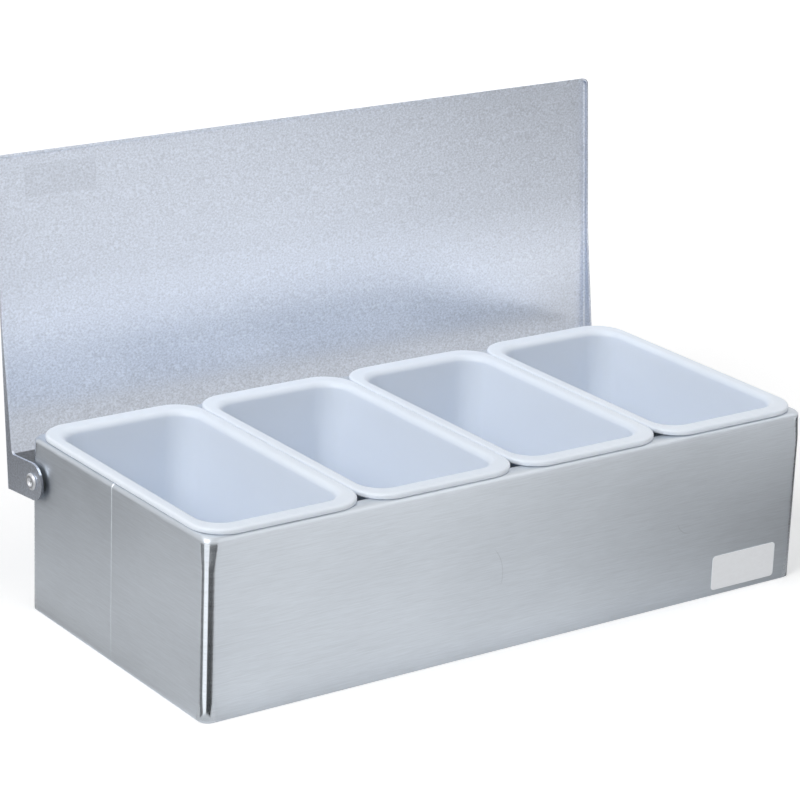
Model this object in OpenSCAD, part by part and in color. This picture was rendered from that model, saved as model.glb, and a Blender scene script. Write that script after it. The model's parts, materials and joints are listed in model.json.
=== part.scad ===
// Bar caddy: a folded steel housing with one flip lid, riveted at two ears, and
// lift-out plastic inserts that hang by their rims on the housing's flange.
// Origin at the middle of the underside; X along the front, Y to the back, Z up.

/* [Housing] */
// Outside length of the housing
body_l = 305; // [260:1:400]
// Outside depth of the housing, front to back
body_w = 138; // [115:1:180]
// Height of the housing to the top of its rim
body_h = 77; // [60:1:110]
// Thickness of the housing sheet
wall_t = 0.8; // [0.6:0.1:1.2]
// Outside radius of the upright corners
corner_r = 3.5; // [3:0.5:5]
// Corner radius of the opening inside the flange
flange_r = 2; // [1:0.5:6]
// Height of the base pan's upturned edge
pan_h = 9; // [5:1:15]
// Clearance between the base pan and the housing wall
pan_fit = 0.1; // [0.05:0.05:0.3]
// Width of the butt seam's line on the left end
seam_w = 0.5; // [0.3:0.1:1]
// Depth of the seam's line
seam_d = 0.25; // [0.1:0.05:0.4]
// Distance of the seam behind the middle of the left end
seam_y = 2.5; // [-20:0.5:20]

/* [Hinge] */
// Distance of the hinge axis below the rim
pivot_down = 18.4; // [16:0.2:24]
// Radius of the rivet shank
rivet_r = 1.6; // [1.4:0.1:2]
// Radial clearance of each hole on the rivet shank
rivet_fit = 0.05; // [0.02:0.01:0.09]
// Radius of the rivet's head
rivet_head_r = 3.7; // [2.8:0.1:4.2]
// Height of the rivet's head
rivet_head_h = 1.2; // [0.8:0.1:2]
// Radius of the hollow in the rivet's head
rivet_dimple_r = 1.9; // [0.8:0.1:2]
// Depth of the hollow in the rivet's head
rivet_dimple_d = 0.7; // [0.5:0.1:0.9]
// How far the clinched end inside the housing stands out past the shank
rivet_lip = 0.6; // [0.4:0.1:1.2]
// Thickness of the clinched end
rivet_tail_h = 0.9; // [0.6:0.1:1.5]
// Distance from the clinched end to the bend of the housing's corner
tail_edge = 0.1; // [0.1:0.1:4]
// Outside radius of the spacer washer between ear and wall
spacer_r = 5; // [4:0.5:7]
// Gap on each moving face of the hinge
slide_gap = 0.05; // [0.03:0.01:0.1]

/* [Lid] */
// Thickness of the lid sheet
lid_t = 1; // [0.8:0.1:1.4]
// How far the open lid leans back from upright
lid_lean = 5; // [0:1:15]
// Gap between the lid's ears and the housing's ends
ear_gap = 1.5; // [1:0.1:2.5]
// Radius of each ear's round end
ear_r = 8; // [7:0.5:10]
// Fillet where an ear joins the side lip
ear_fillet = 2; // [1:0.5:4]
// Inside radius of the lid's folds
lid_bend_r = 0.8; // [0.4:0.1:1.5]
// Flat depth of the lips round the lid, below their fold
lip_flat = 1; // [0.4:0.1:2.5]
// How much deeper the side lips are beside the ears
lip_extra = 3; // [2:0.2:5]
// Length over which the side lips widen towards the ears
lip_taper = 52; // [20:1:90]
// Radius of the lid's free corners
lid_corner_r = 3; // [2:0.5:8]
// Gap between the closed lid's front lip and the housing's front face
front_gap = 0.5; // [0.4:0.1:2]
// Clearance of the lid's inner face past the insert rims as it swings
swing_gap = 0.35; // [0.3:0.05:1.5]
// Length of the blank stamped panel on the lid
stamp_l = 34; // [20:1:60]
// Height of the blank stamped panel on the lid
stamp_w = 13.4; // [8:0.2:20]
// Depth of the blank stamped panel
stamp_d = 0.12; // [0.05:0.01:0.3]
// Distance of the stamped panel from the lid's left edge
stamp_x = 14.5; // [8:0.5:60]
// Distance of the stamped panel from the lid's free edge
stamp_y = 6; // [4:0.5:60]

/* [Inserts] */
// Gap between neighbouring insert rims
insert_gap = 0.6; // [0.4:0.1:2]
// Distance of the outer rims inside the housing's end faces
end_inset = 1; // [0.3:0.1:3]
// Distance of the rims inside the housing's front and back faces
rim_inset = 0.5; // [0.3:0.1:1]
// Thickness of the insert rim
rim_t = 2.2; // [1.6:0.1:3]
// Width of the insert rim at its front and back
rim_w = 8.5; // [6:0.1:10]
// Width of the insert rim along its two long sides
rim_side_w = 6.3; // [5:0.1:9]
// Radius of the rim's outer edge
rim_edge_r = 1; // [0.6:0.1:1.2]
// Corner radius of the rim seen from above
rim_corner_r = 14; // [11:0.5:18]
// Air between the inserts and the base pan
under_gap = 3.7; // [1:0.1:30]
// Wall thickness of an insert
insert_t = 1.8; // [1.4:0.1:2.4]
// Draft of the insert walls from top to bottom
insert_draft = 3.7; // [1:0.1:6]
// Inside radius between the insert's wall and its floor
floor_r = 9; // [4:0.5:14]
// Gap between the rims and the flange that carries them
seat_gap = 0.3; // [0.2:0.05:0.5]
// Gap between the inserts' walls and the inner edge of the flange
tub_fit = 1.2; // [0.5:0.1:3]

/* [Label] */
// Length of the blank label
label_l = 35.5; // [20:0.5:60]
// Height of the blank label
label_h = 15.7; // [10:0.1:25]
// Thickness of the blank label
label_t = 0.2; // [0.1:0.05:0.4]
// Corner radius of the blank label
label_r = 1.6; // [0.5:0.1:3]
// Distance of the label from the housing's right end
label_x = 11.2; // [8:0.2:60]
// Distance of the label above the underside
label_z = 2.6; // [2:0.2:30]

/* [Hidden] */
$fn = 64;
steel = [0.76, 0.77, 0.78];
bright_steel = [0.85, 0.85, 0.86];
lid_steel = [0.70, 0.73, 0.78];
plastic = [0.86, 0.88, 0.93];
nylon = [0.22, 0.22, 0.20];
eps = 0.01;
cut = 5;

// Housing
inside_l = body_l - 2 * wall_t;
inside_w = body_w - 2 * wall_t;
flange_w = rim_inset + rim_w - insert_t - tub_fit;
flange_end_w = end_inset + rim_side_w - insert_t - tub_fit;

// Hinge axis, and the hinge stack measured outwards from the housing's end face
rivet_tail_r = rivet_r + rivet_lip;
pivot_in = corner_r + rivet_tail_r + tail_edge;
pivot_y = body_w / 2 - pivot_in;
pivot_z = body_h - pivot_down;
hole_r = rivet_r + rivet_fit;
spacer_t = ear_gap - slide_gap;
lid_w = body_l + 2 * (ear_gap + lid_t);
head_x = lid_w / 2 + slide_gap;
tail_x = body_l / 2 - wall_t;

// Insert levels and sizes
rim_under = body_h + seat_gap;
rim_top = rim_under + rim_t;
insert_bottom = wall_t + under_gap;
insert_l = (body_l - 2 * end_inset - 3 * insert_gap) / 4;
insert_w = body_w - 2 * rim_inset;
insert_x = [for (i = [0:3]) (i - 1.5) * (insert_l + insert_gap)];

// Lid, drawn closed with the hinge axis at the origin: its inner face clears the
// rounded back edge of the rims as it turns
swing_back = pivot_in - rim_inset - rim_edge_r;
swing_up = rim_top - rim_edge_r - pivot_z;
lid_in = norm([swing_back, swing_up]) + rim_edge_r + swing_gap;
lid_out = lid_in + lid_t;
lid_reach = pivot_y + body_w / 2 + front_gap + lid_t;
lip_d = lid_t + lid_bend_r + lip_flat;
lip_rear = lip_d + lip_extra;

// A rounded rectangle centred on the origin
module rounded(l, w, r) {
    square([l - 2 * r, w], center = true);
    square([l, w - 2 * r], center = true);
    for (x = [-1, 1], y = [-1, 1])
        translate([x * (l / 2 - r), y * (w / 2 - r)])
            circle(r);
}

// A ring along the housing's outline, end_w wide at the ends and w wide at the front and
// back, from z0 to z1, with inner corners of radius r
module housing_ring(end_w, w, r, z0, z1) {
    translate([0, 0, z0])
        linear_extrude(z1 - z0)
            difference() {
                rounded(body_l, body_w, corner_r);
                rounded(body_l - 2 * end_w, body_w - 2 * w, r);
            }
}

// A cylinder on the hinge axis, from x0 to x1 on the side s (-1 left, 1 right)
module on_axis(s, r, x0, x1) {
    translate([s * x0, pivot_y, pivot_z])
        rotate([0, s * 90, 0])
            cylinder(r = r, h = x1 - x0);
}

module body_wrap() {
    color(steel)
        difference() {
            union() {
                housing_ring(wall_t, wall_t, corner_r - wall_t, 0, body_h);
                housing_ring(flange_end_w, flange_w, flange_r, body_h - wall_t, body_h);
            }
            for (s = [-1, 1])
                on_axis(s, hole_r, body_l / 2 - wall_t - cut, body_l / 2 + cut);
            translate([-body_l / 2 - cut, seam_y - seam_w / 2, -cut])
                cube([cut + seam_d, seam_w, body_h + 2 * cut]);
        }
}

module base_pan() {
    l = inside_l - 2 * pan_fit;
    w = inside_w - 2 * pan_fit;
    r = corner_r - wall_t - pan_fit;
    color(steel)
        difference() {
            linear_extrude(pan_h)
                rounded(l, w, r);
            translate([0, 0, wall_t])
                linear_extrude(pan_h)
                    rounded(l - 2 * wall_t, w - 2 * wall_t, r - wall_t);
        }
}

// Section of the folded lid across its width: a box with two rounded upper corners
module lid_arch(half_w, top, r) {
    translate([-half_w, lid_out - lip_d])
        square([2 * half_w, top - r - lid_out + lip_d]);
    translate([-half_w + r, lid_out - lip_d])
        square([2 * (half_w - r), top - lid_out + lip_d]);
    for (x = [-1, 1])
        translate([x * (half_w - r), top - r])
            circle(r);
}

// Plan of the lid with rounded free corners, drawn inset by d
module lid_plan(d) {
    r = lid_corner_r - d;
    translate([-lid_w / 2 + d, -lid_reach + lid_corner_r])
        square([lid_w - 2 * d, lid_reach + ear_r - lid_corner_r]);
    translate([-lid_w / 2 + lid_corner_r, -lid_reach + d])
        square([lid_w - 2 * lid_corner_r, lid_corner_r]);
    for (x = [-1, 1])
        translate([x * (lid_w / 2 - lid_corner_r), -lid_reach + lid_corner_r])
            circle(r);
}

// The lid's panel with its side lips and the lip on its free edge
module lid_tray() {
    z_bottom = lid_out - lip_d;
    difference() {
        intersection() {
            translate([0, ear_r, 0])
                rotate([90, 0, 0])
                    linear_extrude(lid_reach + ear_r)
                        lid_arch(lid_w / 2, lid_out, lid_bend_r + lid_t);
            translate([0, 0, z_bottom])
                linear_extrude(lip_d)
                    lid_plan(0);
        }
        intersection() {
            translate([0, ear_r + cut, 0])
                rotate([90, 0, 0])
                    linear_extrude(lid_reach + ear_r + cut)
                        lid_arch(lid_w / 2 - lid_t, lid_in, lid_bend_r);
            translate([0, 0, z_bottom])
                linear_extrude(lip_d)
                    lid_plan(lid_t);
        }
    }
}

// Side view of an ear: round end on the axis, and the side lip that widens towards it
module ear_outline() {
    top = lid_out - lid_bend_r - lid_t;
    circle(ear_r);
    translate([-ear_r, 0])
        square([2 * ear_r, top]);
    polygon([
        [-ear_r - lip_taper, lid_out - lip_d],
        [-ear_r - ear_fillet, lid_out - lip_rear],
        [-ear_r + ear_fillet, lid_out - lip_rear],
        [-ear_r + ear_fillet, top],
        [-ear_r - lip_taper, top]
    ]);
    translate([-ear_r - ear_fillet, lid_out - lip_rear - ear_fillet])
        difference() {
            square([2 * ear_fillet, 2 * ear_fillet]);
            circle(ear_fillet);
        }
}

module lid_closed() {
    difference() {
        union() {
            lid_tray();
            for (s = [-1, 1])
                translate([s * (lid_w - lid_t) / 2, 0, 0])
                    rotate([90, 0, 90])
                        linear_extrude(lid_t, center = true)
                            ear_outline();
        }
        translate([-lid_w / 2 - cut, 0, 0])
            rotate([0, 90, 0])
                cylinder(r = hole_r, h = lid_w + 2 * cut);
        translate([-lid_w / 2 + stamp_x, -lid_reach + stamp_y, lid_in - cut])
            cube([stamp_l, stamp_w, cut + stamp_d]);
    }
}

module lid() {
    color(lid_steel)
        translate([0, pivot_y, pivot_z])
            rotate([-90 - lid_lean, 0, 0])
                lid_closed();
}

// A semi-tubular rivet: domed head with a hollow, shank, and clinched end
module rivet(s) {
    color(bright_steel)
        difference() {
            union() {
                translate([s * head_x, pivot_y, pivot_z])
                    rotate([0, s * 90, 0])
                        rotate_extrude()
                            polygon([
                                [0, 0],
                                [rivet_head_r, 0],
                                [rivet_head_r, rivet_head_h * 0.35],
                                [rivet_head_r * 0.93, rivet_head_h * 0.66],
                                [rivet_head_r * 0.78, rivet_head_h * 0.88],
                                [rivet_head_r * 0.58, rivet_head_h],
                                [0, rivet_head_h]
                            ]);
                on_axis(s, rivet_r, tail_x - rivet_tail_h, head_x + eps);
                on_axis(s, rivet_tail_r, tail_x - rivet_tail_h, tail_x);
            }
            on_axis(s, rivet_dimple_r, head_x + rivet_head_h - rivet_dimple_d, head_x + rivet_head_h + cut);
        }
}

module spacer_washer(s) {
    color(nylon)
        difference() {
            on_axis(s, spacer_r, body_l / 2, body_l / 2 + spacer_t);
            on_axis(s, hole_r, body_l / 2 - cut, body_l / 2 + spacer_t + cut);
        }
}

// Insert: a closed skin of level rounded-rectangle rings. Each station is [inset from the
// rim's front edge, height, inset from its side edge]; corners tighten as the inset grows.
corner_steps = 8;
corner_ease = 0.35;
arc_steps = 5;

function ring_r(inset) = max(rim_corner_r - corner_ease * inset, 2);

function ring(inset, z, side_inset) =
    let (a = insert_l / 2 - side_inset, b = insert_w / 2 - inset, r = ring_r(inset))
    [for (q = [0:3], i = [0:corner_steps])
        let (
            t = 90 * (q + i / corner_steps),
            cx = (q == 0 || q == 3) ? a - r : r - a,
            cy = q < 2 ? b - r : r - b
        )
        [cx + r * cos(t), cy + r * sin(t), z]
    ];

// Points of an arc in the [inset, height] plane
function station_arc(c, r, t0, t1) =
    [for (i = [0:arc_steps]) let (t = t0 + (t1 - t0) * i / arc_steps) [c[0] + r * cos(t), c[1] + r * sin(t)]];

skin_in = rim_w - insert_t;
foot_in = skin_in + insert_draft;
foot_r = floor_r + insert_t;
under_side = concat(
    station_arc([foot_in + foot_r, insert_bottom + foot_r], foot_r, 270, 180),
    [[skin_in, rim_under]]
);
rim_edge = concat(
    [[rim_edge_r / 2, rim_under]],
    [[0, rim_under + rim_edge_r / 2]],
    station_arc([rim_edge_r, rim_top - rim_edge_r], rim_edge_r, 180, 90)
);
upper_side = concat(
    station_arc([rim_w - rim_edge_r, rim_top - rim_edge_r], rim_edge_r, 90, 0),
    station_arc([rim_w + insert_draft + floor_r, insert_bottom + insert_t + floor_r], floor_r, 180, 270)
);

// Stations with their side inset, which is less by d than the front one
function with_side(list, d) = [for (s = list) [s[0], s[1], s[0] - d]];

stations = concat(
    with_side(under_side, rim_w - rim_side_w),
    with_side(rim_edge, 0),
    with_side(upper_side, rim_w - rim_side_w)
);

module insert(x) {
    n = 4 * (corner_steps + 1);
    m = len(stations);
    points = [for (s = stations) each ring(s[0], s[1], s[2])];
    sides = [for (k = [0:m - 2], i = [0:n - 1])
        [k * n + i, (k + 1) * n + i, (k + 1) * n + (i + 1) % n, k * n + (i + 1) % n]];
    under = [for (i = [0:n - 1]) i];
    floor_face = [for (i = [n - 1:-1:0]) (m - 1) * n + i];
    color(plastic)
        translate([x, 0, 0])
            polyhedron(points, concat([under], sides, [floor_face]), convexity = 4);
}

module blank_label() {
    color("white")
        translate([body_l / 2 - label_x - label_l / 2, -body_w / 2, label_z + label_h / 2])
            rotate([90, 0, 0])
                linear_extrude(label_t)
                    rounded(label_l, label_h, label_r);
}

body_wrap();
base_pan();
lid();
rivet(-1);  // rivet_left
rivet(1);  // rivet_right
spacer_washer(-1);  // spacer_washer_left
spacer_washer(1);  // spacer_washer_right
insert(insert_x[0]);  // insert_1
insert(insert_x[1]);  // insert_2
insert(insert_x[2]);  // insert_3
insert(insert_x[3]);  // insert_4
blank_label();
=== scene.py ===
"""A steel bar caddy with one flip lid and four lift-out plastic inserts: its surfaces,
finishes, floor, lamps and camera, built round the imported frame. Units are metres."""

import json
import math

import bmesh
import bpy
import numpy as np
from bpy.props import FloatProperty, FloatVectorProperty, PointerProperty
from mathutils import Matrix, Vector


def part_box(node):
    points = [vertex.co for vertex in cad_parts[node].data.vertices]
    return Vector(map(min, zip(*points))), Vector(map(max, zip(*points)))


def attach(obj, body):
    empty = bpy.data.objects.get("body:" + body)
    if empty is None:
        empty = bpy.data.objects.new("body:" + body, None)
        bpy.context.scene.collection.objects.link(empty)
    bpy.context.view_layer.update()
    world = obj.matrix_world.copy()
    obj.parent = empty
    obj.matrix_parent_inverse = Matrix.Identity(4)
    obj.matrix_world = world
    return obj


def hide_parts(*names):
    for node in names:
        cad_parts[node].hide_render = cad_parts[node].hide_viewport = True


bl_info = {
    "name": "Bar Caddy",
    "version": (1, 0, 0),
    "blender": (4, 5, 0),
    "location": "View3D > Sidebar > Bar Caddy",
    "description": "Builds a steel bar caddy with a flip lid and four plastic inserts",
    "category": "Add Mesh",
}

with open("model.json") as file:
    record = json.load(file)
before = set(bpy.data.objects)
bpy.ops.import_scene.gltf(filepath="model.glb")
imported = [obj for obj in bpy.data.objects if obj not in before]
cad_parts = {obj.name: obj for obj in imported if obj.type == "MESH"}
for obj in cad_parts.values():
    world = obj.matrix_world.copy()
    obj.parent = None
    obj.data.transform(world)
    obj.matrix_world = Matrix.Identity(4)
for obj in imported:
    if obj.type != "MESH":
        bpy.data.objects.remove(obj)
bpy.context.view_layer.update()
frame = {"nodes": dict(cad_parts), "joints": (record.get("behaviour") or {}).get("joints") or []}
MM = 0.001


PIVOT = next(j["pos_m"] for j in frame["joints"] if j["name"] == "lid_hinge")
CLOSED_DEG = next(j["range_deg"][0] for j in frame["joints"] if j["name"] == "lid_hinge")
WRAP_LOW, WRAP_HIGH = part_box("body_wrap")
LID_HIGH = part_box("lid")[1]
INSERTS = ("insert_1", "insert_2", "insert_3", "insert_4")


def linear(code):
    """An sRGB hex colour as linear red, green, blue and alpha."""
    part = np.array([int(code[i:i + 2], 16) for i in (1, 3, 5)]) / 255
    low = part / 12.92
    high = ((part + 0.055) / 1.055) ** 2.4
    return (*np.where(part <= 0.04045, low, high).tolist(), 1.0)


# Sizes and colours ---------------------------------------------------------------


def length(name, about, value, low=0.0):
    """A length a user may change, in metres."""
    return FloatProperty(name=name, description=about, default=value, min=low,
                         unit="LENGTH", precision=5)


def colour(name, about, code):
    """A colour a user may change, given as an sRGB hex value."""
    return FloatVectorProperty(name=name, description=about, default=linear(code), size=4,
                               subtype="COLOR", min=0.0, max=1.0)


class CaddyHousing(bpy.types.PropertyGroup):
    """Sizes and colour of the folded housing."""

    sheet: length("Sheet", "Thickness of the housing sheet", 0.8 * MM, 0.4 * MM)
    corner: length("Corner", "Outside radius of the upright corners", 4.2 * MM, MM)
    flare: length("Flare", "How much the corner radius grows towards the rim", 1.2 * MM)
    flare_down: length("Flare depth", "Height over which the corner flares", 11 * MM, MM)
    bend: length("Bend", "Outside radius of the bend into the flange", 2.2 * MM, MM)
    flange: length("Flange", "Width of the inward flange at front and back", 7 * MM, 3 * MM)
    flange_end: length("End flange", "Width of the inward flange at the ends", 4.3 * MM, 3 * MM)
    opening: length("Opening corner", "Corner radius inside the flange", 2 * MM, MM)
    seam_y: length("Seam", "Place of the butt seam behind the middle of the left end",
                   2.5 * MM, -0.03)
    seam_w: length("Seam width", "Width of the seam line", 0.5 * MM, 0.2 * MM)
    seam_d: length("Seam depth", "Depth of the seam line", 0.25 * MM)
    steel: colour("Steel", "Colour of the brushed stainless steel", "#cdd3da")


class CaddyLid(bpy.types.PropertyGroup):
    """Sizes and colour of the folded lid."""

    sheet: length("Sheet", "Thickness of the lid sheet", MM, 0.6 * MM)
    out: length("Reach", "Distance of the outer face from the hinge axis", 22.71 * MM, 0.01)
    bend: length("Bend", "Outside radius of the lid's folds", 1.8 * MM, 1.2 * MM)
    lip: length("Lip", "Depth of the lip round the lid", 2.8 * MM, 2 * MM)
    lip_rear: length("Rear lip", "Depth of the side lips beside the ears", 5.8 * MM, 3 * MM)
    taper: length("Taper", "Length over which the side lips widen", 52 * MM, 10 * MM)
    ear: length("Ear", "Radius of an ear's round end", 8 * MM, 5 * MM)
    fillet: length("Fillet", "Fillet between an ear and the side lip", 2 * MM, 0.5 * MM)
    corner: length("Corner", "Radius of the free corners", 3 * MM, 2 * MM)
    hole: length("Hole", "Radius of the hole in each ear", 1.65 * MM, MM)
    stamp_l: length("Stamp length", "Length of the blank stamped panel", 34 * MM)
    stamp_w: length("Stamp height", "Height of the blank stamped panel", 13.4 * MM)
    stamp_d: length("Stamp depth", "Depth of the blank stamped panel", 0.12 * MM)
    stamp_x: length("Stamp from side", "Distance of the panel from the left edge", 14.5 * MM)
    stamp_y: length("Stamp from edge", "Distance of the panel from the free edge", 6 * MM)
    edge: length("Edge", "Rounding of the sheet's cut edges", 0.2 * MM, 0.05 * MM)
    steel: colour("Steel", "Colour of the satin stainless steel", "#d3d9e4")


class CaddyInsert(bpy.types.PropertyGroup):
    """Sizes and colour of the lift-out inserts."""

    rim: length("Rim", "Width of the rim at its front and back", 8.5 * MM, 5 * MM)
    rim_side: length("Side rim", "Width of the rim along its long sides", 6.3 * MM, 4 * MM)
    rim_t: length("Rim thickness", "Thickness of the rim", 2.42 * MM, MM)
    rim_edge: length("Rim edge", "Radius of the rim's edges", MM, 0.3 * MM)
    rim_in: length("Rim inside", "Radius from the rim into the well", 2.8 * MM, 0.3 * MM)
    rim_corner: length("Rim corner", "Corner radius of the rim from above", 14 * MM, 5 * MM)
    wall: length("Wall", "Wall thickness", 1.8 * MM, MM)
    draft: length("Draft", "Draft of the walls from top to bottom", 3.7 * MM)
    floor: length("Floor radius", "Inside radius between wall and floor", 9 * MM, 2 * MM)
    plastic: colour("Plastic", "Colour of the moulded polypropylene", "#e5edf9")


class CaddyFittings(bpy.types.PropertyGroup):
    """Sizes of the rivets, and the colours of the small parts."""

    shank: length("Shank", "Radius of the rivet's shank", 1.6 * MM, MM)
    head: length("Head", "Radius of the rivet's head", 3.7 * MM, 2 * MM)
    head_h: length("Head height", "Height of the rivet's head", 1.2 * MM, 0.5 * MM)
    hollow: length("Hollow", "Radius of the hollow in the head", 1.9 * MM, 0.5 * MM)
    hollow_d: length("Hollow depth", "Depth of the hollow in the head", 0.7 * MM, 0.3 * MM)
    tail: length("Tail", "Radius of the clinched end", 2.2 * MM, 1.8 * MM)
    tail_h: length("Tail height", "Thickness of the clinched end", 0.9 * MM, 0.4 * MM)
    rivet: colour("Rivet", "Colour of the plain steel rivets", "#d0d2d6")
    pan: colour("Pan", "Colour of the base pan", "#c6c9ce")
    nylon: colour("Nylon", "Colour of the spacer washers", "#4a4a42")
    label: colour("Label", "Colour of the blank label", "#f8fafd")


class CaddyStage(bpy.types.PropertyGroup):
    """Floor, lamps and camera."""

    floor: colour("Floor", "Colour of the floor", "#f0f0f0")
    sky: FloatProperty(name="Sky", description="Strength of the room's own light",
                       default=0.32, min=0.0)
    key: FloatProperty(name="Key lamp", description="Power of the key lamp",
                       default=25.0, min=0.0, unit="POWER")
    fill: FloatProperty(name="Fill lamp", description="Power of the fill lamp",
                        default=5.0, min=0.0, unit="POWER")
    top: FloatProperty(name="Top lamp", description="Power of the lamp overhead",
                       default=9.0, min=0.0, unit="POWER")
    lens: length("Lens", "Focal length of the camera", 141.545 * MM)
    eye: FloatVectorProperty(name="Eye", description="Place of the camera", size=3,
                             default=(-0.74819, -1.01234, 0.52053), subtype="XYZ",
                             unit="LENGTH")
    turn: FloatVectorProperty(name="Turn", description="Azimuth, drop and roll of the camera",
                              size=3, subtype="EULER", unit="ROTATION",
                              default=[math.radians(v) for v in (35.94, 19.017, 2.172)])


# Meshes --------------------------------------------------------------------------


def placed(name, data):
    """A new object that holds the data, linked into the scene."""
    made = bpy.data.objects.new(name, data)
    bpy.context.scene.collection.objects.link(made)
    return made


def quads(index):
    """Four-sided faces between neighbouring rows and columns of vertex numbers."""
    near, far = index[:-1], index[1:]
    corners = (near[:, :-1], near[:, 1:], far[:, 1:], far[:, :-1])
    return np.stack(corners, axis=-1).reshape(-1, 4).tolist()


def mesh_object(name, points, faces):
    """An object at the origin from points (n, 3) and faces, smooth, turned outwards."""
    mesh = bpy.data.meshes.new(name)
    mesh.from_pydata(points.tolist(), [], faces)
    work = bmesh.new()
    work.from_mesh(mesh)
    bmesh.ops.recalc_face_normals(work, faces=work.faces)
    work.to_mesh(mesh)
    work.free()
    mesh.polygons.foreach_set("use_smooth", np.ones(len(mesh.polygons), bool))
    return placed(name, mesh)


def skin(name, rings, looped=False):
    """Closed skin of rings (m, n, 3): each row runs round, neighbouring rows are joined,
    and the ends meet each other when looped or are closed by a flat face."""
    count = rings.shape[0] * rings.shape[1]
    index = np.arange(count).reshape(rings.shape[:2])
    round_about = np.pad(index, ((0, 1 if looped else 0), (0, 1)), mode="wrap")
    faces = quads(round_about)
    if not looped:
        faces += [index[0].tolist(), index[-1].tolist()]
    return mesh_object(name, rings.reshape(-1, 3), faces)


def plate(name, outer, inner):
    """Closed sheet from two grids (m, n, 3) of the same shape: both faces, and a strip
    along the border that joins them."""
    count = outer.shape[0] * outer.shape[1]
    index = np.arange(count).reshape(outer.shape[:2])
    border = np.concatenate([index[0, :-1], index[:-1, -1], index[-1, :0:-1], index[:0:-1, 0]])
    border = np.append(border, border[0])
    faces = quads(index) + quads(index + count) + quads(np.stack([border, border + count]))
    points = np.concatenate([outer.reshape(-1, 3), inner.reshape(-1, 3)])
    return mesh_object(name, points, faces)


def arc(centre, radius, start, stop, steps):
    """Points (steps + 1, 2) of an arc: centre plus radius times cosine and sine of an
    angle that runs evenly from start to stop, in degrees."""
    angle = np.radians(np.linspace(start, stop, steps + 1))
    return np.asarray(centre) + radius * np.stack([np.cos(angle), np.sin(angle)], axis=1)


def rounded_rings(stations, half_x, half_y, steps, left=()):
    """Rings (m, n, 3) round a rectangle with rounded corners. A station is the inset in X,
    the inset in Y, height and corner radius. A corner point is the corner circle's centre
    plus radius times cosine and sine of its angle. One more point stands beside each end of
    a corner, on the straight side, and left gives the Y of further points on that side."""
    inset_x, inset_y, height, radius = (stations[:, k:k + 1] for k in range(4))
    a, b = half_x - inset_x, half_y - inset_y
    beside = 0.6 * MM
    shift = np.zeros(steps + 3)
    shift[[0, -1]] = -beside, beside
    xs, ys = [], []
    for quarter, (sx, sy) in enumerate(((1, 1), (-1, 1), (-1, -1), (1, -1))):
        angle = np.radians(90 * quarter + np.linspace(0, 90, steps + 1))
        angle = np.concatenate([angle[:1], angle, angle[-1:]])
        xs.append(sx * (a - radius) + radius * np.cos(angle) - shift * np.sin(angle))
        ys.append(sy * (b - radius) + radius * np.sin(angle) + shift * np.cos(angle))
        if quarter == 1 and len(left):
            side = np.broadcast_to(np.sort(left)[::-1], (len(stations), len(left)))
            xs.append(np.broadcast_to(-a, side.shape))
            ys.append(side)
    x, y = np.concatenate(xs, axis=1), np.concatenate(ys, axis=1)
    return np.stack([x, y, np.broadcast_to(height, x.shape)], axis=-1)


def revolved(name, profile, side):
    """A turned piece on the hinge axis. Profile rows are distance from the middle along X
    and radius; each becomes a ring: radius times cosine and sine of the turn, in Y and Z."""
    steps = 48
    turn = np.radians(np.arange(steps) * 360 / steps)
    along = np.broadcast_to(side * profile[:, :1], (len(profile), steps))
    y = PIVOT[1] + profile[:, 1:] * np.cos(turn)
    z = PIVOT[2] + profile[:, 1:] * np.sin(turn)
    return skin(name, np.stack([along, y, z], axis=-1))


def smooth_step(value):
    """0 below 0, 1 above 1, and three squares less two cubes between."""
    value = np.clip(value, 0, 1)
    return value * value * (3 - 2 * value)


def housing_stations(p, top):
    """Closed section of the housing's sheet: up the outer face, round the bend, in along
    the flange and back down inside. Columns are inset, height, corner radius, and the
    outward direction of the outer face, which is zero on the inner face."""
    t, r, nick = p.sheet, p.bend, p.sheet / 4
    high, low_row = top - r, 12 * MM
    flare_rows, bend_steps = 8, 8
    flared = np.linspace(top - p.flare_down - r, high, flare_rows)
    rise = np.concatenate([[nick, low_row], flared])
    corner = p.corner + p.flare * smooth_step((rise - flared[0]) / (high - flared[0]))
    wall = np.stack([0 * rise, rise, corner, 0 * rise - 1, 0 * rise], axis=1)
    bend = arc((0, 0), 1, 180, 90, bend_steps)
    full = corner[-1]
    lean = (p.opening - full) / p.flange

    def level(inset, height, out=0.0):
        """One row on the flange, whose corners tighten evenly towards the opening."""
        return [inset, height, full + lean * inset, 0.0, out]

    outer_bend = np.stack([r + r * bend[:, 0], high + r * bend[:, 1],
                           full + lean * (r + r * bend[:, 0]), bend[:, 0], bend[:, 1]], axis=1)
    s = r - t
    inner_bend = np.stack([r + s * bend[::-1, 0], high + s * bend[::-1, 1],
                           full - t + 0 * bend[:, 0], 0 * bend[:, 0], 0 * bend[:, 0]], axis=1)
    flange = np.array([
        level(r + nick, top, 1), level(p.flange - nick, top, 1), level(p.flange, top - nick),
        level(p.flange, top - t + nick), level(p.flange - nick, top - t), level(r + nick, top - t),
    ])
    inside = wall[::-1].copy()
    inside[:, 0], inside[:, 2], inside[:, 3] = t, inside[:, 2] - t, 0
    foot = np.array([[t - nick, 0, p.corner - t, 0, 0], [nick, 0, p.corner, 0, 0]])
    return np.concatenate([wall, outer_bend[1:], flange, inner_bend, inside[1:], foot])


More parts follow.
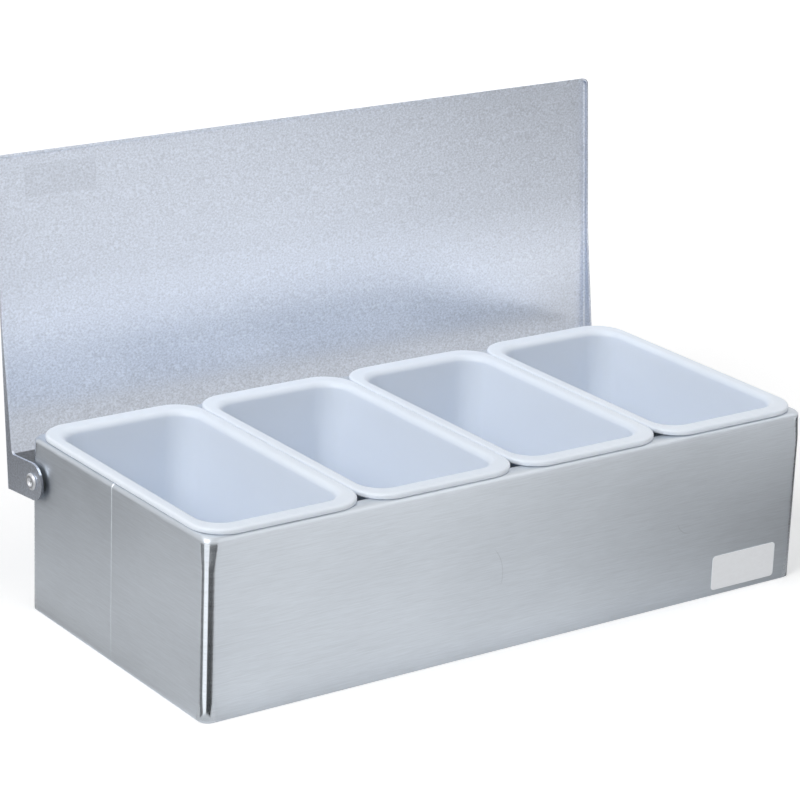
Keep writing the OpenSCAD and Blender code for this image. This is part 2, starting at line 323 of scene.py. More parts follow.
def housing_shell(p):
    """The housing: its section carried round the rounded outline, less the seam line,
    a round-bottomed groove whose depth falls with the square of the distance."""
    half_x, half_y = WRAP_HIGH.x, WRAP_HIGH.y
    section = housing_stations(p, WRAP_HIGH.z)
    inset, lip = section[:, 0], p.bend + p.sheet / 4
    share = np.clip((inset - lip) / (p.flange - lip), 0, 1)
    inset_x = inset - share * (p.flange - p.flange_end)
    stations = np.column_stack([inset_x, section[:, :3]])
    seam = p.seam_y + p.seam_w * np.array([-1, -0.5, -0.25, 0, 0.25, 0.5, 1])
    rings = rounded_rings(stations, half_x, half_y, 12, seam)
    off = 2 * np.abs(rings[..., 1] - p.seam_y) / p.seam_w
    groove = np.where(rings[..., 0] < 0, p.seam_d * np.clip(1 - off * off, 0, 1), 0)
    rings[..., 0] -= groove * section[:, 3:4]
    rings[..., 2] -= groove * section[:, 4:5]
    return skin("housing_shell", rings, looped=True)


def insert_shell(p, name):
    """One insert: rings of a rounded rectangle, from the underside of its floor up the
    outside, round the rim and down the inside to its floor. Corners tighten by a set
    share of the inset."""
    ease, least = 0.35, 2 * MM
    low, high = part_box(name)
    half = (high - low) / 2
    middle = (high + low) / 2
    wall_in = p.rim - p.wall
    foot_in, foot_r = wall_in + p.draft, p.floor + p.wall
    e, top, under, back = p.rim_edge, high.z, high.z - p.rim_t, 0.4 * MM
    section = np.concatenate([
        arc((foot_in + foot_r, low.z + foot_r), foot_r, 270, 180, 10),
        [[wall_in + back / 4, under - 2 * back], [wall_in, under - back / 4]],
        [[wall_in - back, under], [e / 2 + back, under]],
        arc((e / 2, under + e / 2), e / 2, 270, 180, 4),
        arc((e, top - e), e, 180, 90, 6),
        [[e + back, top], [p.rim - p.rim_in - back, top]],
        arc((p.rim - p.rim_in, top - p.rim_in), p.rim_in, 90, 5, 10),
        [[p.rim + 2 * back * p.draft / (top - low.z), top - p.rim_in - 2 * back]],
        arc((p.rim + p.draft + p.floor, low.z + p.wall + p.floor), p.floor, 180, 270, 12),
    ])
    corner = np.maximum(p.rim_corner - ease * section[:, 0], least)
    share = smooth_step((section[:, 0] - e) / (wall_in - e))
    inset_x = section[:, 0] - share * (p.rim - p.rim_side)
    stations = np.column_stack([inset_x, section, corner])
    rings = rounded_rings(stations, half.x, half.y, 14)
    rings[..., :2] += np.array(middle[:2])
    return skin(name + "_tub", rings)


def lid_rows(p, front):
    """Rows of the lid's grid from the free edge to the hinge: place of the row on the
    panel's fold line, and of its end on the lip's edge, as Y and height. The edge runs
    along the lip, widens, takes the fillet, drops down the ear and goes round it."""
    z_lip, z_rear = p.out - p.lip, p.out - p.lip_rear
    part_way = 0.4
    stamp = front + p.stamp_y + np.array([0, p.edge, p.stamp_w - p.edge, p.stamp_w])
    taper_end = -p.ear - p.fillet
    taper = np.linspace(taper_end - p.taper, taper_end, 5)
    middle = front + part_way * (taper[0] - front)
    plain = np.concatenate([[front + p.corner], stamp, [middle]])
    fillet = arc((taper_end, z_rear - p.fillet), p.fillet, 90, 0, 5)[1:]
    drop = np.stack([np.full(3, -p.ear), np.linspace(fillet[-1, 1], 0, 5)[1:-1]], axis=1)
    ear = arc((0, 0), p.ear, 180, 360, 24)
    edge = np.concatenate([
        np.column_stack([plain, np.full(len(plain), z_lip)]),
        np.column_stack([taper, np.linspace(z_lip, z_rear, len(taper))]),
        fillet, drop, ear,
    ])
    late = len(fillet) + len(drop) + len(ear)
    on_fold = np.concatenate([plain, taper, np.linspace(taper_end, p.ear, late + 1)[1:]])
    return on_fold, edge


def lid_grids(p):
    """Outer and inner face of the lid, drawn closed with the hinge axis at the origin.
    Across each fold the developed distance d gives: the same distance on the flat part,
    bend radius times sine outwards and one less cosine down in the bend, then straight
    down the lip. At the free corners d is the larger of the two developed distances and
    the direction is the unit vector of both, which rounds the corner. The inner face is
    the outer one less the sheet along its normal, and has the stamped panel."""
    half, overhang = LID_HIGH.x, 1.5 * MM
    front = -(PIVOT[1] - WRAP_LOW.y) - overhang
    flat, lip_run = p.corner - p.bend, p.lip - p.bend
    bend_rows, lip_rows = 6, 4
    fold = np.concatenate([[0.3, 1], 1 + np.arange(1, bend_rows + 1) / bend_rows,
                           2 + np.arange(1, lip_rows + 1) / lip_rows])

    def parts(step):
        """Developed distance and share of the lip for a step of 0-1 flat, 1-2 bend, 2-3 lip."""
        reach = flat * np.clip(step, 0, 1) + p.bend * math.pi / 2 * np.clip(step - 1, 0, 1)
        return reach, np.clip(step - 2, 0, 1)

    on_fold, edge = lid_rows(p, front)
    row_step = np.concatenate([fold[::-1], 0 * on_fold])[:, None]
    row_y = np.concatenate([np.full(len(fold), on_fold[0]), on_fold])[:, None]
    slide = np.concatenate([0 * fold, edge[:, 0] - on_fold])[:, None]
    deep = np.concatenate([0 * fold + lip_run, p.out - p.bend - edge[:, 1]])[:, None]
    stamp = p.stamp_x - half + np.array([0, p.edge, p.stamp_l - p.edge, p.stamp_l])
    beside_stamp = np.linspace(-0.25, 0.9, 6) * half
    inner_x = np.concatenate([stamp, beside_stamp])
    col_x = np.concatenate([np.full(len(fold) + 1, p.corner - half), inner_x,
                            np.full(len(fold) + 1, half - p.corner)])
    col_step = np.concatenate([fold[::-1], [0], 0 * inner_x, [0], fold])
    side = np.sign(col_x) * (col_step > 0)
    row_d, row_f = parts(row_step)
    col_d, col_f = parts(col_step)
    d, f = np.maximum(row_d, col_d), np.maximum(row_f, col_f)
    tx, ty = col_d + col_f * lip_run, row_d + row_f * lip_run
    span = np.maximum(np.hypot(tx, ty), 1e-9)
    along_x, along_y = tx / span, ty / span
    bent = np.clip((d - flat) / p.bend, 0, math.pi / 2)
    out_by = np.minimum(d, flat) + p.bend * np.sin(bent)
    x = col_x + side * out_by * along_x
    y = row_y - out_by * along_y + slide * col_f * (side != 0)
    z = p.out - p.bend * (1 - np.cos(bent)) - f * deep
    outer = np.stack([x, y, z], axis=-1)
    normal = np.stack([side * along_x * np.sin(bent), -along_y * np.sin(bent),
                       np.cos(bent) + 0 * x], axis=-1)
    inner = outer - p.sheet * normal
    in_x = np.clip((x - stamp[0]) / p.edge, 0, 1) * np.clip((stamp[3] - x) / p.edge, 0, 1)
    low = front + p.stamp_y
    in_y = np.clip((y - low) / p.edge, 0, 1) * np.clip((low + p.stamp_w - y) / p.edge, 0, 1)
    inner[..., 2] += p.stamp_d * in_x * in_y
    return outer, inner


def at_hinge(points):
    """Points drawn with the lid closed, turned to its open rest place at the hinge."""
    turn = Matrix.Rotation(math.radians(CLOSED_DEG), 3, "X")
    return points @ np.array(turn).T + np.array(PIVOT)


def applied(obj):
    """Makes the result of an object's modifiers its mesh, and removes them."""
    seen = obj.evaluated_get(bpy.context.evaluated_depsgraph_get())
    done = bpy.data.meshes.new_from_object(seen)
    obj.modifiers.clear()
    obj.data = done


def lid_sheet(p):
    """The lid with its folded lips and drilled ears."""
    made = plate("lid_sheet", *(at_hinge(grid) for grid in lid_grids(p)))
    span = LID_HIGH.x + np.array([-4, 2]) * MM
    for side in (-1, 1):
        drill = revolved("drill", np.column_stack([span, [p.hole, p.hole]]), side)
        cut = made.modifiers.new("ear hole", "BOOLEAN")
        cut.object = drill
        cut.solver = "EXACT"
        applied(made)
        bpy.data.objects.remove(drill)
    edges = made.modifiers.new("sheet edge", "BEVEL")
    edges.width = p.edge
    edges.segments = 2
    edges.limit_method = "ANGLE"
    edges.angle_limit = math.radians(40)
    made.modifiers.new("flat faces", "WEIGHTED_NORMAL").keep_sharp = True
    return made


def rivet(p, side):
    """A semi-tubular rivet turned on the hinge axis: clinched end, shank, domed head, and
    the hollow in the head with a round lip."""
    name = "rivet_left" if side < 0 else "rivet_right"
    low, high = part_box(name)
    ends = sorted(abs(v) for v in (low.x, high.x))
    soft, step, core, lip = 0.3 * MM, 0.15 * MM, 0.2 * MM, 0.25 * MM
    base = ends[1] - p.head_h
    seat, crown = ends[0] + p.tail_h, p.hollow + lip
    angle = np.radians(np.linspace(0, 90, 9))[1:]
    rise = p.head_h - soft
    dome = np.column_stack([base + soft + rise * np.sin(angle),
                            crown + (p.head - crown) * np.cos(angle)])
    mouth = arc((ends[1] - lip, crown), lip, 0, -90, 4)[1:]
    profile = np.concatenate([
        [[ends[0], core], [ends[0], p.tail - soft]],
        arc((ends[0] + soft, p.tail - soft), soft, 180, 90, 4)[1:],
        [[seat, p.tail], [seat, p.shank], [base, p.shank], [base, p.head - step],
         [base + step, p.head], [base + soft, p.head]],
        dome, mouth,
        [[ends[1] - p.hollow_d, p.hollow], [ends[1] - p.hollow_d, core]],
    ])
    return revolved(name + "_turned", profile, side)


# Finishes ------------------------------------------------------------------------


def put(tree, kind, inputs=(), **settings):
    """Adds a shader node: settings are its own, inputs are values or links by socket."""
    made = tree.nodes.new("ShaderNode" + kind)
    for name, value in settings.items():
        setattr(made, name, value)
    for name, value in dict(inputs).items():
        if isinstance(value, bpy.types.NodeSocket):
            tree.links.new(value, made.inputs[name])
        else:
            made.inputs[name].default_value = value
    return made


def clean_tree(holder):
    """The emptied node tree of a new material or world."""
    holder.use_nodes = True
    holder.node_tree.nodes.clear()
    return holder.node_tree


def new_finish(name):
    """A new material, its node tree and its Principled shader, joined to the output."""
    made = bpy.data.materials.new(name)
    tree = clean_tree(made)
    shader = put(tree, "BsdfPrincipled")
    put(tree, "OutputMaterial", {"Surface": shader.outputs[0]})
    return made, tree, shader


def pattern(tree, pitch, detail=2.0, roughness=0.5):
    """Noise from 0 to 1 on Object coordinates whose pitch, in metres, is set for X, Y and Z."""
    place = put(tree, "TexCoord").outputs["Object"]
    grid = put(tree, "Mapping", {"Vector": place, "Scale": [1 / v for v in pitch]})
    return put(tree, "TexNoise", {"Vector": grid.outputs[0], "Scale": 1.0, "Detail": detail,
                                  "Roughness": roughness}).outputs["Fac"]


def spread(tree, value, low, high, near=0.3, far=0.7):
    """Maps a pattern's middle range onto low to high."""
    return put(tree, "MapRange", {"Value": value, "From Min": near, "From Max": far,
                                  "To Min": low, "To Max": high}).outputs[0]


def tinted(tree, base, amount):
    """A colour scaled by one value all over its three channels."""
    return put(tree, "VectorMath", {0: base[:3], "Scale": amount}, operation="SCALE").outputs[0]


def product(tree, first, *others):
    """Values multiplied together."""
    for other in others:
        first = put(tree, "Math", {0: first, 1: other}, operation="MULTIPLY").outputs[0]
    return first


def between(tree, value, low, high, fade):
    """Two factors whose product is 1 between low and high, and which each fall to 0 over a
    fade to either side of their own limit."""
    return (spread(tree, value, 0, 1, low - fade, low + fade),
            spread(tree, value, 1, 0, high - fade, high + fade))


def scratch(tree, centre, radius, low, high, side):
    """1 on a thin arc in the XZ plane: within half its width of the radius about centre,
    between two heights, and on one side of the centre, left for -1 and right for 1."""
    core, blur, end, turn = 0.05 * MM, 0.3 * MM, 2 * MM, 0.1 * MM
    place = put(tree, "TexCoord").outputs["Object"]
    flat = put(tree, "VectorMath", {0: place, 1: (1, 0, 1)}, operation="MULTIPLY").outputs[0]
    away = put(tree, "VectorMath", {0: flat, 1: centre}, operation="DISTANCE").outputs["Value"]
    off = put(tree, "Math", {0: away, 1: radius}, operation="SUBTRACT").outputs[0]
    off = put(tree, "Math", {0: off}, operation="ABSOLUTE").outputs[0]
    line = spread(tree, off, 1, 0, core, blur)
    split = put(tree, "SeparateXYZ", {0: place}).outputs
    above = spread(tree, split["Z"], 0, 1, low, low + end)
    below = spread(tree, split["Z"], 1, 0, high - end, high)
    beside = spread(tree, split["X"], 0, 1, centre[0], centre[0] + side * turn)
    return product(tree, line, above, below, beside)


def corner_polish(tree):
    """1 on the four upright corners, 0 on the flat sides: how far a point is past the start
    of the bend in X and in Y, whichever is less. The polish widens near the top and foot,
    and ends under the flange's bend."""
    half_x, half_y, top = WRAP_HIGH
    bend, soft, widening = 4.4 * MM, 1.6 * MM, 2.2 * MM
    head_run, foot_run = 14 * MM, 12 * MM
    place = put(tree, "TexCoord").outputs["Object"]
    height = put(tree, "SeparateXYZ", {0: place}).outputs["Z"]
    head = spread(tree, height, 0, widening, top - head_run, top)
    foot = spread(tree, height, widening, 0, 0, foot_run)
    wide = put(tree, "Math", {0: head, 1: foot}, operation="ADD").outputs[0]
    size = put(tree, "VectorMath", {0: place}, operation="ABSOLUTE").outputs[0]
    past = put(tree, "VectorMath", {0: size, 1: (half_x - bend, half_y - bend, 0)},
               operation="SUBTRACT").outputs[0]
    past = put(tree, "SeparateXYZ", {0: past})
    least = put(tree, "Math", {0: past.outputs["X"], 1: past.outputs["Y"]},
                operation="MINIMUM").outputs[0]
    deep = put(tree, "Math", {0: least, 1: wide}, operation="ADD").outputs[0]
    under = spread(tree, height, 1, 0, top - 2.5 * MM, top - 1.5 * MM)
    return product(tree, spread(tree, deep, 0, 1, 0, soft), under)


def brushed_stainless(colour_value):
    """Stainless sheet brushed lengthways with a belt, whose short fine streaks blur what it
    mirrors across the grain, with bends that the press has burnished bright and two hairline
    scratches. The real streaks are finer than they are drawn here, so that they show."""
    made, tree, shader = new_finish("brushed stainless steel")
    streaks = pattern(tree, (16 * MM, 16 * MM, 0.4 * MM), 3)
    fine = pattern(tree, (6 * MM, 6 * MM, 0.3 * MM), 2)
    cloud = pattern(tree, (70 * MM, 70 * MM, 40 * MM), 2)
    mix = put(tree, "Math", {0: streaks, 1: fine}, operation="ADD").outputs[0]
    tone = spread(tree, mix, 0.93, 1.05, 0.7, 1.3)
    slow = spread(tree, cloud, 0.97, 1.03)
    long_mark = scratch(tree, (-26 * MM, 0, 34 * MM), 17 * MM, 29 * MM, 46 * MM, 1)
    short_mark = scratch(tree, (92 * MM, 0, 40 * MM), 8 * MM, 31 * MM, 38 * MM, -1)
    marks = put(tree, "Math", {0: long_mark, 1: short_mark}, operation="MAXIMUM").outputs[0]
    dark = spread(tree, marks, 1, 0.86, 0, 1)
    tone_factor = product(tree, tone, slow, dark)
    tree.links.new(tinted(tree, colour_value, tone_factor), shader.inputs["Base Color"])
    polish = corner_polish(tree)
    rough = spread(tree, mix, 0.38, 0.46, 0.7, 1.3)
    keep = spread(tree, polish, 1, 0.5, 0, 1)
    tree.links.new(product(tree, rough, keep), shader.inputs["Roughness"])
    bump = put(tree, "Bump", {"Height": mix, "Strength": 0.12, "Distance": 0.03 * MM})
    tree.links.new(bump.outputs[0], shader.inputs["Normal"])
    along = put(tree, "Tangent", direction_type="RADIAL", axis="Z")
    tree.links.new(along.outputs[0], shader.inputs["Tangent"])
    for name, value in (("Metallic", 1.0), ("Anisotropic", 0.75), ("Anisotropic Rotation", 0.25)):
        shader.inputs[name].default_value = value
    return made


def satin_stainless(colour_value):
    """Stainless sheet with a rolled satin finish: a close grain without direction, which
    spreads highlights wide and sparkles a little. The real grain is finer than it is drawn
    here, so that it shows. On the lid's inner face, a band above the inserts is painted
    lighter as painted light, the blank stamped panel is painted darker as painted shade of
    its relief, and the strip low between the ears is painted dark as painted shade."""
    stamp_x, stamp_z, stamp_fade = (-140.5 * MM, -106.5 * MM), (170.8 * MM, 184.1 * MM), 0.3 * MM
    ear_in, pocket_top = (156.4 * MM, 156.6 * MM), (63.1 * MM, 63.5 * MM)
    band_foot, band_head = (85 * MM, 100 * MM), (108 * MM, 136 * MM)
    made, tree, shader = new_finish("satin stainless steel")
    grain = pattern(tree, (1.0 * MM, 1.0 * MM, 0.8 * MM), 3, 0.65)
    cloud = pattern(tree, (60 * MM, 60 * MM, 45 * MM), 2)
    tone = spread(tree, grain, 0.77, 1.15)
    slow = spread(tree, cloud, 0.985, 1.015)
    place = put(tree, "TexCoord").outputs
    split = put(tree, "SeparateXYZ", {0: place["Object"]}).outputs
    facing = put(tree, "SeparateXYZ", {0: place["Normal"]}).outputs["Y"]
    inside = spread(tree, facing, 1, 0, -0.6, -0.4)
    # Painted light: the inner face's band above the inserts, which the lamps light too little, is
    # painted up to 1.22 times lighter.
    bright = product(tree, inside, spread(tree, split["Z"], 0.5, 1, *band_foot),
                     spread(tree, split["Z"], 1, 0, *band_head))
    out = put(tree, "Math", {0: split["X"]}, operation="ABSOLUTE").outputs[0]
    # Painted shade: the inner face low between the ears, where the ear shades it, is painted down
    # to 0.3 of its colour.
    pocket = product(tree, inside, spread(tree, out, 1, 0, *ear_in),
                     spread(tree, split["Z"], 1, 0, *pocket_top))
    # Painted shade: the blank stamped panel is painted 0.93 times darker, in place of the shading
    # of its relief.
    stamped = product(tree, inside, *between(tree, split["X"], *stamp_x, stamp_fade),
                      *between(tree, split["Z"], *stamp_z, stamp_fade))
    painted_light_band = spread(tree, bright, 1, 1.22, 0, 1)
    ear_painted_shade = spread(tree, pocket, 1, 0.3, 0, 1)
    stamp_painted_shade = spread(tree, stamped, 1, 0.93, 0, 1)
    # Base colour scale: grain and cloud tone, times the painted light and the painted shade above.
    tone_factor = product(tree, tone, slow, painted_light_band, ear_painted_shade, stamp_painted_shade)
    tree.links.new(tinted(tree, colour_value, tone_factor), shader.inputs["Base Color"])
    tree.links.new(spread(tree, grain, 0.34, 0.44), shader.inputs["Roughness"])
    bump = put(tree, "Bump", {"Height": grain, "Strength": 0.5, "Distance": 0.04 * MM})
    tree.links.new(bump.outputs[0], shader.inputs["Normal"])
    shader.inputs["Metallic"].default_value = 1.0
    return made


def plain_steel(name, colour_value, roughness, pitch):
    """Plain steel as it leaves the press or the heading tool: smooth, with faint marks
    that make its highlights uneven."""
    made, tree, shader = new_finish(name)
    marks = pattern(tree, (pitch, pitch, pitch), 3)
    tone = spread(tree, marks, 0.94, 1.04)
    tree.links.new(tinted(tree, colour_value, tone), shader.inputs["Base Color"])
    tree.links.new(spread(tree, marks, roughness - 0.04, roughness + 0.06),
                   shader.inputs["Roughness"])
    shader.inputs["Metallic"].default_value = 1.0
    return made


def moulded_polypropylene(colour_value):
    """Natural white polypropylene, injection moulded: light goes a few millimetres in, and
    the satin skin has a faint flow unevenness."""
    made, tree, shader = new_finish("moulded polypropylene")
    flow = pattern(tree, (38 * MM, 60 * MM, 30 * MM), 2)
    skin_grain = pattern(tree, (1.2 * MM, 1.2 * MM, 1.2 * MM), 2)
    tree.links.new(tinted(tree, colour_value, spread(tree, flow, 0.985, 1.01)),
                   shader.inputs["Base Color"])
    tree.links.new(spread(tree, flow, 0.36, 0.44), shader.inputs["Roughness"])
    bump = put(tree, "Bump", {"Height": skin_grain, "Strength": 0.06, "Distance": 0.03 * MM})
    tree.links.new(bump.outputs[0], shader.inputs["Normal"])
    for name, value in (("IOR", 1.49), ("Subsurface Weight", 0.4),
                        ("Subsurface Radius", (0.95, 0.95, 1.0)),
                        ("Subsurface Scale", 3.5 * MM)):
        shader.inputs[name].default_value = value
    return made


def turned_nylon(colour_value):
    """Dark nylon washer stock: dull, with fine rings of the cut."""
    made, tree, shader = new_finish("dark nylon")
    cut = pattern(tree, (3 * MM, 0.5 * MM, 0.5 * MM), 2)
    tree.links.new(tinted(tree, colour_value, spread(tree, cut, 0.85, 1.1)),
                   shader.inputs["Base Color"])
    tree.links.new(spread(tree, cut, 0.5, 0.62), shader.inputs["Roughness"])
    shader.inputs["IOR"].default_value = 1.53
    return made


def label_film(colour_value):
    """Blank satin polyester label film: near white and even, with the faintest mottle."""
    made, tree, shader = new_finish("satin label film")
    mottle = pattern(tree, (2.2 * MM, 2.2 * MM, 1.4 * MM), 3)
    tree.links.new(tinted(tree, colour_value, spread(tree, mottle, 0.97, 1.01)),
                   shader.inputs["Base Color"])
    tree.links.new(spread(tree, mottle, 0.42, 0.5), shader.inputs["Roughness"])
    shader.inputs["IOR"].default_value = 1.5
    return made


def finish(obj, material, body, replaced):
    """Gives a new piece its material and its body, and hides the nodes it stands for."""
    obj.data.materials.clear()
    obj.data.materials.append(material)
    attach(obj, body)
    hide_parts(*replaced)


def show_node(name, material):
    """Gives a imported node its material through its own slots."""
    for held in frame["nodes"][name].material_slots:
        held.material = material


# Operators -----------------------------------------------------------------------


class CADDY_OT_housing(bpy.types.Operator):
    """Folded housing, brushed lengthways"""

    bl_idname = "caddy.housing"
    bl_label = "Housing"

    def execute(self, context):
        p = context.scene.caddy_housing
        finish(housing_shell(p), brushed_stainless(p.steel), "caddy",
               ["body_wrap"])
        return {"FINISHED"}


class CADDY_OT_base_pan(bpy.types.Operator):
    """Base pan of plain steel"""

    bl_idname = "caddy.base_pan"
    bl_label = "Base Pan"

    def execute(self, context):
        p = context.scene.caddy_fittings
        show_node("base_pan", plain_steel("mill-finish stainless steel", p.pan, 0.34, 4 * MM))
        return {"FINISHED"}


class CADDY_OT_lid(bpy.types.Operator):
    """Folded lid with drilled ears, satin finish"""

    bl_idname = "caddy.lid"
    bl_label = "Lid"

    def execute(self, context):
        p = context.scene.caddy_lid
        finish(lid_sheet(p), satin_stainless(p.steel), "lid", ["lid"])
        return {"FINISHED"}


class CADDY_OT_hinge_fittings(bpy.types.Operator):
    """Rivets and spacer washers of the hinge"""

    bl_idname = "caddy.hinge_fittings"
    bl_label = "Rivets and Spacers"

    def execute(self, context):
        p = context.scene.caddy_fittings
        bright = plain_steel("headed steel rivet", p.rivet, 0.35, 1.5 * MM)
        dark = turned_nylon(p.nylon)
        for side, name in ((-1, "left"), (1, "right")):
            finish(rivet(p, side), bright, "caddy", ["rivet_" + name])
            show_node("spacer_washer_" + name, dark)
        return {"FINISHED"}


class CADDY_OT_inserts(bpy.types.Operator):
    """Four moulded inserts"""

    bl_idname = "caddy.inserts"
    bl_label = "Inserts"

    def execute(self, context):
        p = context.scene.caddy_insert
        plastic = moulded_polypropylene(p.plastic)
        for name in INSERTS:
            finish(insert_shell(p, name), plastic, name, [name])
        return {"FINISHED"}


class CADDY_OT_label(bpy.types.Operator):
    """Blank label on the front"""

    bl_idname = "caddy.label"
    bl_label = "Label"

    def execute(self, context):
        show_node("blank_label", label_film(context.scene.caddy_fittings.label))
        return {"FINISHED"}


def seen_as_white(tree, seen=1.0, mirrored=1.0):
    """How bright a surface is of itself: seen for the camera's rays, mirrored for mirrored
    and refracted ones, and nothing for the light that it throws on other things."""
    path = put(tree, "LightPath").outputs
    other = put(tree, "Math", {0: path["Is Glossy Ray"], 1: path["Is Transmission Ray"]},
                operation="MAXIMUM").outputs[0]
    other = product(tree, other, mirrored)
    return put(tree, "Math", {0: product(tree, path["Is Camera Ray"], seen), 1: other},
               operation="ADD").outputs[0]


def lamp(name, size, power, place, aim):
    """A square soft light at a place, turned to a point."""
    light = bpy.data.lights.new(name, "AREA")
    light.shape = "SQUARE"
    light.size = size
    light.energy = power
    made = placed(name, light)
    made.location = place
    made.rotation_euler = (Vector(aim) - Vector(place)).to_track_quat("-Z", "Y").to_euler()
    return made


def studio_world(strength):
    """A room that lights evenly, and looks white behind the object and in its mirrors."""
    world = bpy.data.worlds.new("room")
    tree = clean_tree(world)
    level = put(tree, "Math", {0: seen_as_white(tree), 1: strength}, operation="MAXIMUM")
    sky = put(tree, "Background", {"Color": (1, 1, 1, 1), "Strength": level.outputs[0]})
    put(tree, "OutputWorld", {"Surface": sky.outputs[0]})
    bpy.context.scene.world = world


def studio_floor(colour_value):
    """A wide pale floor that keeps the shadow near the object, and is lighter to the camera
    further out, where the lamps' light fades."""
    half, rows = 4.0, 9
    lift_from, lift_to, in_mirrors = 0.25, 0.8, 0.12
    near, far = 0.2, 1.2
    line = np.linspace(-half, half, rows)
    x, y = np.meshgrid(line, line)
    points = np.stack([x, y, 0 * x], axis=-1).reshape(-1, 3)
    mesh = bpy.data.meshes.new("floor")
    mesh.from_pydata(points.tolist(), [], quads(np.arange(rows * rows).reshape(rows, rows)))
    made = placed("floor", mesh)
    paper = bpy.data.materials.new("matt paper")
    tree = clean_tree(paper)
    matt = put(tree, "BsdfDiffuse", {"Color": colour_value})
    place = put(tree, "TexCoord").outputs["Object"]
    away = put(tree, "VectorMath", {0: place}, operation="LENGTH").outputs["Value"]
    lift = spread(tree, away, lift_from, lift_to, near, far)
    glow = put(tree, "Emission", {"Strength": seen_as_white(tree, lift, in_mirrors)})
    both = put(tree, "AddShader", {0: matt.outputs[0], 1: glow.outputs[0]})
    put(tree, "OutputMaterial", {"Surface": both.outputs[0]})
    mesh.materials.append(paper)


# Each oval's strength, centre, half sizes, turn about Z in degrees, and whether it stands.
OVALS = {
    "board_front": (0.04, (0.38, -0.20, 0.0003), (0.44, 0.28), 0, False),
    "board_band": (3.2, (0.56, -0.43, 0.0005), (0.64, 0.28), 0, False),
    "board_far": (0.0, (1.15, -0.90, 0.12), (0.60, 0.55), 52, True),
    "board_right": (0.0, (0.58, -0.45, 0.14), (0.32, 0.26), 34, True),
    "board_end": (0.08, (-0.32, 0.25, 0.0007), (0.24, 0.22), 0, False),
    "board_foot": (0.6, (-0.17, 0.02, 0.0009), (0.05, 0.16), 0, False),
}
# Each sector's strength, and the two angles in degrees that it lies between.
SECTORS = {
    "board_dark": (0.07, -22, 45),
    "board_bright": (1.4, 45, 92),
    "board_side": (0.22, 92, 130),
}
SECTOR_NEAR, SECTOR_FAR, SECTOR_HEIGHT = 3 * MM, 340 * MM, 1.2 * MM
GAP_STRENGTH, GAP_FOOT, GAP_BEHIND = 0.7, 20 * MM, 0.4 * MM


def mirrored_board(name, points, strength, soft):
    """A flat board that only the metal's mirroring sees, on its front. A soft one is an oval,
    as strong as given up to a third of its size and fading to nothing at its edge."""
    mesh = bpy.data.meshes.new(name)
    mesh.from_pydata(points, [], [tuple(range(len(points)))])
    card = bpy.data.materials.new(name)
    tree = clean_tree(card)
    shown = put(tree, "Emission", {"Strength": strength})
    behind = put(tree, "NewGeometry").outputs["Backfacing"]
    share = put(tree, "Math", {0: 1.0, 1: behind}, operation="SUBTRACT").outputs[0]
    if soft:
        place = put(tree, "TexCoord").outputs["Object"]
        away = put(tree, "VectorMath", {0: place}, operation="LENGTH").outputs["Value"]
        edge = put(tree, "MapRange", {"Value": away, "From Min": 0.35, "To Min": 1,
                                      "To Max": 0}, interpolation_type="SMOOTHSTEP")
        share = product(tree, share, edge.outputs[0])
    clear = put(tree, "BsdfTransparent")
    shown = put(tree, "MixShader", {0: share, 1: clear.outputs[0], 2: shown.outputs[0]})
    put(tree, "OutputMaterial", {"Surface": shown.outputs[0]})
    mesh.materials.append(card)
    made = placed(name, mesh)
    for ray in ("camera", "diffuse", "transmission", "volume_scatter", "shadow"):
        setattr(made, "visible_" + ray, False)
    return made


def studio_boards():
    """Soft ovals for the flat sides, one board in the gap that the lid's lower part faces,
    and three sectors of the floor round the near corner, between two angles from the front's
    own direction towards the left, for its bends."""
    square = [(-1, -1, 0), (1, -1, 0), (1, 1, 0), (-1, 1, 0)]
    for name, (strength, centre, size, turn, stands) in OVALS.items():
        made = mirrored_board(name, square, strength, True)
        made.rotation_euler = (-math.pi / 2 if stands else 0.0, 0, math.radians(turn))
        made.location = centre
        made.scale = (*size, 1)
    half, back, top = WRAP_HIGH.x, WRAP_HIGH.y + GAP_BEHIND, WRAP_HIGH.z
    gap = [(half, back, GAP_FOOT), (-half, back, GAP_FOOT), (-half, back, top),
           (half, back, top)]
    mirrored_board("board_gap", gap, GAP_STRENGTH, False)
    corner = np.array([WRAP_LOW.x + 2 * MM, WRAP_LOW.y + 2 * MM])
    for name, (strength, start, stop) in SECTORS.items():
        turn = np.radians(np.linspace(start, stop, 7))
        away = np.stack([-np.sin(turn), -np.cos(turn)], axis=1)
        near, far = corner + SECTOR_NEAR * away, corner + SECTOR_FAR * away
        flat = np.concatenate([near, far[::-1]]).tolist()
        mirrored_board(name, [(x, y, SECTOR_HEIGHT) for x, y in flat], strength, False)


def studio_camera(p):
    """Camera from its place, azimuth, drop and roll: forward and right come from the first
    two, and the roll turns right towards up."""
    azimuth, drop, roll = p.turn
    ahead = Vector((math.sin(azimuth) * math.cos(drop), math.cos(azimuth) * math.cos(drop),
                    -math.sin(drop)))
    right = Vector((math.cos(azimuth), -math.sin(azimuth), 0))
    up = right.cross(ahead)
    across = right * math.cos(roll) + up * math.sin(roll)
    data = bpy.data.cameras.new("camera")
    data.sensor_fit = "HORIZONTAL"
    data.sensor_width = 36.0
    data.lens = p.lens / MM
    data.clip_start, data.clip_end = 0.05, 50
    made = placed("camera", data)
    axes = Matrix((across, (-ahead).cross(across), -ahead)).transposed()
    made.matrix_world = Matrix.Translation(p.eye) @ axes.to_4x4()
    bpy.context.scene.camera = made


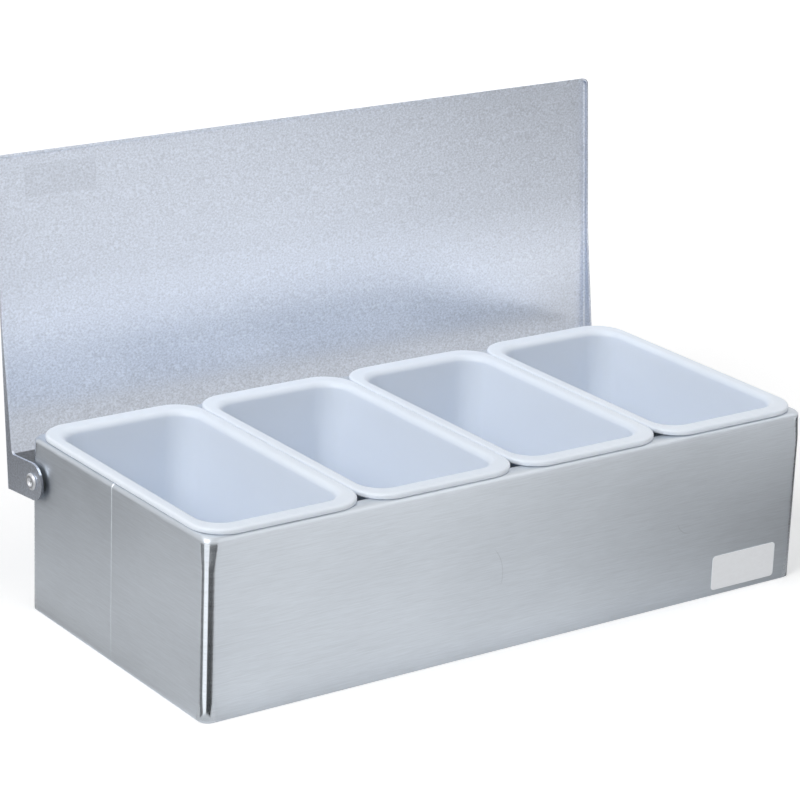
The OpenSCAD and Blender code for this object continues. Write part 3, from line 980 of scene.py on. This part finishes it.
class CADDY_OT_stage(bpy.types.Operator):
    """Pale floor, soft lamps, white room and camera"""

    bl_idname = "caddy.stage"
    bl_label = "Stage"

    def execute(self, context):
        p = context.scene.caddy_stage
        context.scene.view_settings.view_transform = "Standard"
        studio_world(p.sky)
        studio_floor(p.floor)
        middle = (0, 0, 0.08)
        lamp("key", 1.2, p.key, (-1.6, -0.35, 1.5), middle)
        lamp("fill", 1.8, p.fill, (1.5, -1.2, 1.3), middle)
        lamp("top", 1.6, p.top, (0.1, -0.2, 1.9), middle).visible_glossy = False
        studio_boards()
        studio_camera(p)
        return {"FINISHED"}


OPERATORS = (
    CADDY_OT_housing,
    CADDY_OT_base_pan,
    CADDY_OT_lid,
    CADDY_OT_hinge_fittings,
    CADDY_OT_inserts,
    CADDY_OT_label,
    CADDY_OT_stage,
)
GROUPS = {
    "caddy_housing": CaddyHousing,
    "caddy_lid": CaddyLid,
    "caddy_insert": CaddyInsert,
    "caddy_fittings": CaddyFittings,
    "caddy_stage": CaddyStage,
}


class CADDY_PT_panel(bpy.types.Panel):
    """Lists the caddy's pieces with their sizes and colours"""

    bl_idname = "CADDY_PT_panel"
    bl_label = "Bar Caddy"
    bl_space_type = "VIEW_3D"
    bl_region_type = "UI"
    bl_category = "Bar Caddy"

    def draw(self, context):
        for made in OPERATORS:
            self.layout.operator(made.bl_idname)
        for name, group in GROUPS.items():
            box = self.layout.box()
            box.label(text=name.replace("_", " ").capitalize())
            for prop in group.__annotations__:
                box.prop(getattr(context.scene, name), prop)


def register():
    for made in (*GROUPS.values(), *OPERATORS, CADDY_PT_panel):
        bpy.utils.register_class(made)
    for name, group in GROUPS.items():
        setattr(bpy.types.Scene, name, PointerProperty(type=group))


def unregister():
    for name in GROUPS:
        delattr(bpy.types.Scene, name)
    for made in (CADDY_PT_panel, *reversed(OPERATORS), *reversed(GROUPS.values())):
        bpy.utils.unregister_class(made)


def main():
    register()
    for made in OPERATORS:
        getattr(bpy.ops.caddy, made.bl_idname.split(".")[1])()


if __name__ == "__main__":
    main()
